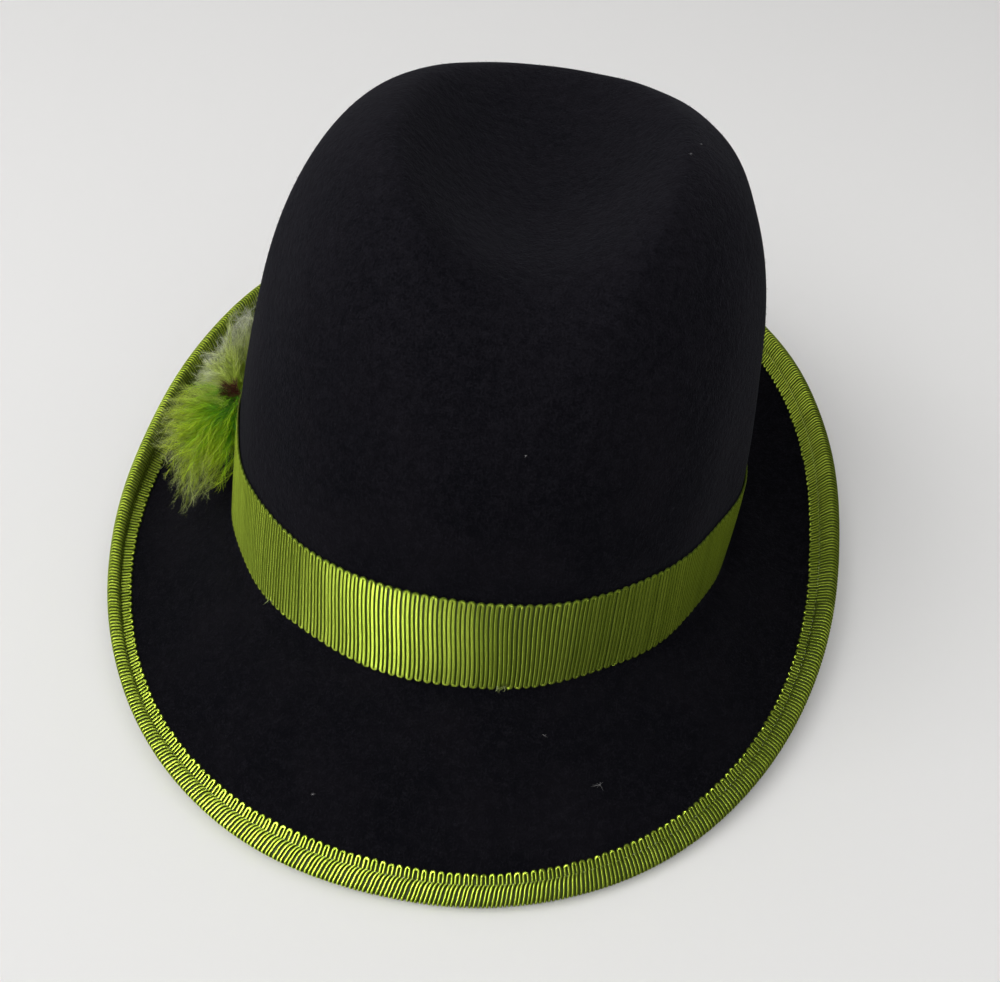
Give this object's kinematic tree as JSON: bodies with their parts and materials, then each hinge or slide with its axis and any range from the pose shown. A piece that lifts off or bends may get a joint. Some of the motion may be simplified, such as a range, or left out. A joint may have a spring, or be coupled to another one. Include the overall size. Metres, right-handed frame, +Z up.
{
  "type": "felt hat",
  "caption": "Felt hat with a tall hollow-topped crown, a curled brim that dips at the front, ribbed ribbon band, bound edge and feather plume, resting as it stands.",
  "frame": {"origin": "middle of the outline box, on the surface that the hat rests on", "axes": "+Z up, -Y towards the front of the hat, -X towards the wearer's right side, where the plume is"},
  "size_m": [0.2462, 0.2958, 0.154],
  "materials": {
    "felt": "fine soft nap, matt",
    "band_ribbon": "ribbed with a silky sheen",
    "binding_ribbon": "ribbed with a silky sheen",
    "green_feathers": "soft fluffy barbs",
    "pale_feathers": "soft fluffy barbs"
  },
  "bodies": {
    "root": {"felt_body": "felt", "hat_band": "band_ribbon", "brim_binding": "binding_ribbon", "plume_green_tuft": "green_feathers", "plume_pale_tuft": "pale_feathers"}
  },
  "joints": []
}
